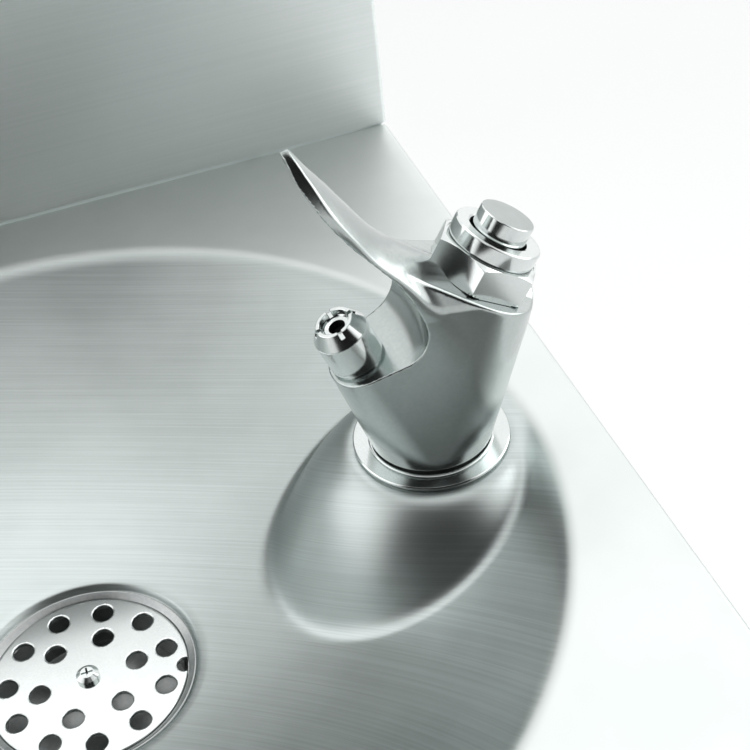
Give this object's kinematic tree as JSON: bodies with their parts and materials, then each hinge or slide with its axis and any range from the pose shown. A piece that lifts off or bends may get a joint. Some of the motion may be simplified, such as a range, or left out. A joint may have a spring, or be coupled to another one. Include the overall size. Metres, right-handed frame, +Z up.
{
  "type": "drinking fountain",
  "caption": "Wall-hung stainless steel drinking fountain with a round bowl, a push-button bubbler with a mouth guard, a backsplash and a trapped waste.",
  "frame": {"origin": "centre of the wall bracket's four bolt holes, on the wall plane", "axes": "+X to the right as seen by the person drinking, +Y into the wall, +Z up"},
  "size_m": [0.3594, 0.3837, 0.369],
  "materials": {
    "brushed_sheet": "brushed stainless sheet",
    "satin_casting": "satin cast body",
    "polished_steel": "polished turned steel",
    "chrome_tube": "chromed brass",
    "plain_steel": "plain stainless",
    "brass": "machined brass",
    "seal_rubber": "matt rubber"
  },
  "bodies": {
    "fountain": {"basin": "brushed_sheet", "backsplash": "brushed_sheet", "backsplash_bolts": "plain_steel", "apron": "brushed_sheet", "access_cover": "brushed_sheet", "cover_screws": "polished_steel", "hanger_rail": "plain_steel", "rail_screws": "polished_steel", "wall_bracket": "plain_steel", "bubbler_body": "satin_casting", "nozzle_base": "polished_steel", "nozzle_tip": "polished_steel", "nozzle_o_ring": "seal_rubber", "hex_nut": "polished_steel", "button_collar": "polished_steel", "return_spring": "plain_steel", "valve_cartridge": "brass", "cartridge_o_ring": "seal_rubber", "base_gasket": "seal_rubber", "flange_ring": "polished_steel", "shank": "brass", "shank_washer": "plain_steel", "shank_nut": "brass", "inlet_elbow": "brass", "compression_nuts": "brass", "supply_tube_upper": "chrome_tube", "supply_tube_lower": "chrome_tube", "regulator_body": "brass", "stop_valve_body": "chrome_tube", "stop_valve_bonnet": "chrome_tube", "strainer_plate": "polished_steel", "strainer_screw": "polished_steel", "drain_body": "plain_steel", "drain_gasket": "seal_rubber", "drain_lock_nut": "brass", "tailpiece": "chrome_tube", "slip_nuts": "chrome_tube", "slip_washers": "seal_rubber", "trap_bend": "chrome_tube", "trap_arm": "chrome_tube"},
    "button": {"push_button": "polished_steel", "valve_stem": "plain_steel", "valve_seal": "seal_rubber"},
    "regulator_adjuster": {"regulator_screw": "plain_steel"},
    "stop_spindle": {"stop_valve_stem": "brass", "stop_valve_handle": "chrome_tube", "handle_screw": "plain_steel"}
  },
  "joints": [
    {"name": "button_press", "type": "slide", "parent": "fountain", "child": "button", "axis": [-0.5255, 0, -0.8508], "range_m": [0, 0.004], "stiffness_N_per_m": 1200, "springref_m": -0.004, "deforming": ["return_spring"]},
    {"name": "regulator_turn", "type": "hinge", "parent": "fountain", "child": "regulator_adjuster", "pos_m": [0.1265, -0.12, 0.03], "axis": [0, 0, 1], "range_deg": [-180, 180]},
    {"name": "stop_valve_turn", "type": "hinge", "parent": "fountain", "child": "stop_spindle", "pos_m": [0.1265, -0.08, -0.055], "axis": [0, 1, 0], "range_deg": [-90, 0]}
  ]
}
